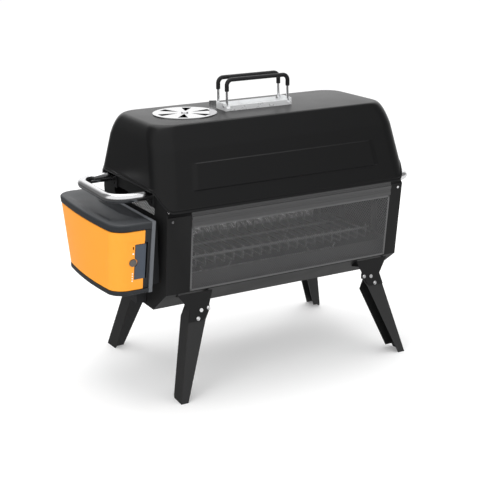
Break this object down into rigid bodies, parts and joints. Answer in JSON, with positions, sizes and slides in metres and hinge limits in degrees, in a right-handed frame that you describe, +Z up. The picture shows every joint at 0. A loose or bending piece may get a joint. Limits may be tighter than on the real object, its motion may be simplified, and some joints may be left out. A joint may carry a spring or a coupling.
{
  "type": "portable fire pit grill",
  "caption": "Portable box grill with mesh sides, hinged vented lid, splayed folding legs, wire fuel rack, cooking grate and a clip-on fan and battery pack at one end.",
  "frame": {"origin": "on the floor under the middle of the grill's overall length and width", "axes": "+X along the body, away from the fan pack; -Y is the front with the controls; +Z up"},
  "size_m": [0.7013, 0.3608, 0.5817],
  "materials": {
    "body_black": "satin heat-proof black",
    "rail_grey": "satin dark grey",
    "mesh_steel": "fine punched steel mesh, dull",
    "lid_black": "satin black",
    "leg_black": "satin black",
    "bracket_black": "matt black",
    "polished_steel": "polished tube",
    "bright_steel": "brushed",
    "fastener_steel": "bright",
    "grip_rubber": "matt black",
    "pack_orange": "satin moulded",
    "pack_grey": "fine moulded grain",
    "frame_grey": "fine moulded grain",
    "pack_dark": "matt",
    "cover_rubber": "matt blue grey",
    "button_grey": "soft",
    "lens_white": "clear lens",
    "rack_wire": "plated wire",
    "grate_iron": "seasoned",
    "seal_rubber": "matt black",
    "board_green": "solder mask",
    "cell_blue": "shrink sleeve"
  },
  "bodies": {
    "body": {"left_end_plate": "body_black", "right_end_plate": "body_black", "front_top_rail": "rail_grey", "rear_top_rail": "rail_grey", "front_mesh": "mesh_steel", "rear_mesh": "mesh_steel", "bottom_pan": "body_black", "fire_pan": "rail_grey", "air_manifold": "bright_steel", "manifold_cap": "bright_steel", "rack_hangers": "rail_grey", "air_duct": "pack_dark", "duct_seal": "seal_rubber", "pack_rails": "pack_dark", "leg_brackets": "bracket_black", "leg_pivot_pins": "fastener_steel", "bracket_rivets": "fastener_steel", "body_rivets": "fastener_steel", "left_handle": "polished_steel", "right_handle": "polished_steel", "handle_flanges": "body_black", "hinge_body_knuckles": "body_black", "lid_hinge_pins": "fastener_steel", "ash_door_hinge": "fastener_steel"},
    "leg_front_left": {"leg_front_left": "leg_black"},
    "leg_front_right": {"leg_front_right": "leg_black"},
    "leg_rear_left": {"leg_rear_left": "leg_black"},
    "leg_rear_right": {"leg_rear_right": "leg_black"},
    "ash_door": {"ash_door": "body_black", "ash_door_pull": "bright_steel"},
    "lid": {"lid_shell": "lid_black", "hinge_lid_leaves": "body_black", "lid_rivets": "fastener_steel", "vent_rivet": "fastener_steel", "handle_base": "bright_steel"},
    "vent": {"vent_disc": "polished_steel"},
    "front_loop": {"front_loop": "polished_steel", "front_grip": "grip_rubber"},
    "rear_loop": {"rear_loop": "polished_steel", "rear_grip": "grip_rubber"},
    "pack": {"pack_frame": "frame_grey", "pack_inner_frame": "pack_dark", "pack_shell": "pack_orange", "pack_top_cap": "pack_grey", "pack_bottom_cap": "pack_grey", "battery_cells": "cell_blue", "battery_tray": "pack_dark", "circuit_board": "board_green", "fan_housing": "pack_dark", "fan_motor": "pack_dark", "charge_sockets": "bright_steel", "port_cover_pin": "fastener_steel", "indicator_lenses": "lens_white", "pack_screws": "fastener_steel", "pack_tongues": "pack_dark"},
    "fan": {"fan_impeller": "pack_dark"},
    "port_cover": {"port_cover": "cover_rubber"},
    "button": {"power_button": "button_grey"},
    "fuel_rack": {"fuel_rack": "rack_wire"},
    "grate": {"cooking_grate": "grate_iron"}
  },
  "joints": [
    {"name": "lid_hinge", "type": "hinge", "parent": "body", "child": "lid", "pos_m": [0.02425, 0.159, 0.357], "axis": [-1, 0, 0], "range_deg": [0, 100]},
    {"name": "vent_turn", "type": "hinge", "parent": "lid", "child": "vent", "pos_m": [-0.12575, 0, 0.5178], "axis": [0, 0, 1], "range_deg": [0, 30]},
    {"name": "front_loop_fold", "type": "hinge", "parent": "lid", "child": "front_loop", "pos_m": [0.02675, -0.018, 0.5265], "axis": [1, 0, 0], "range_deg": [0, 80]},
    {"name": "rear_loop_fold", "type": "hinge", "parent": "lid", "child": "rear_loop", "pos_m": [0.02675, 0.018, 0.5265], "axis": [-1, 0, 0], "range_deg": [0, 80]},
    {"name": "leg_front_left_fold", "type": "hinge", "parent": "body", "child": "leg_front_left", "pos_m": [-0.17195, -0.14291, 0.16653], "axis": [0, -0.9726, 0.2324], "range_deg": [0, 90]},
    {"name": "leg_front_right_fold", "type": "hinge", "parent": "body", "child": "leg_front_right", "pos_m": [0.22045, -0.14291, 0.16653], "axis": [0, 0.9726, -0.2324], "range_deg": [0, 90]},
    {"name": "leg_rear_left_fold", "type": "hinge", "parent": "body", "child": "leg_rear_left", "pos_m": [-0.17195, 0.14291, 0.16653], "axis": [0, -0.9726, -0.2324], "range_deg": [0, 90]},
    {"name": "leg_rear_right_fold", "type": "hinge", "parent": "body", "child": "leg_rear_right", "pos_m": [0.22045, 0.14291, 0.16653], "axis": [0, 0.9726, 0.2324], "range_deg": [0, 90]},
    {"name": "ash_door_swing", "type": "hinge", "parent": "body", "child": "ash_door", "pos_m": [0.02425, 0.046, 0.1538], "axis": [1, 0, 0], "range_deg": [0, 90]},
    {"name": "pack_slide_off", "type": "slide", "parent": "body", "child": "pack", "axis": [-1, 0, 0], "range_m": [0, 0.12]},
    {"name": "fan_spin", "type": "hinge", "parent": "pack", "child": "fan", "pos_m": [-0.28175, 0, 0.28], "axis": [1, 0, 0], "continuous": true},
    {"name": "port_cover_swing", "type": "hinge", "parent": "pack", "child": "port_cover", "pos_m": [-0.28015, -0.1321, 0.28023], "axis": [0, -0.1909, 0.9816], "range_deg": [0, 100]},
    {"name": "button_press", "type": "slide", "parent": "pack", "child": "button", "axis": [0, 0.9816, 0.1909], "range_m": [0, 0.001]},
    {"name": "fuel_rack_lift", "type": "slide", "parent": "body", "child": "fuel_rack", "axis": [0, 0, 1], "range_m": [0, 0.045]},
    {"name": "grate_lift", "type": "slide", "parent": "body", "child": "grate", "axis": [0, 0, 1], "range_m": [0, 0.05]}
  ]
}
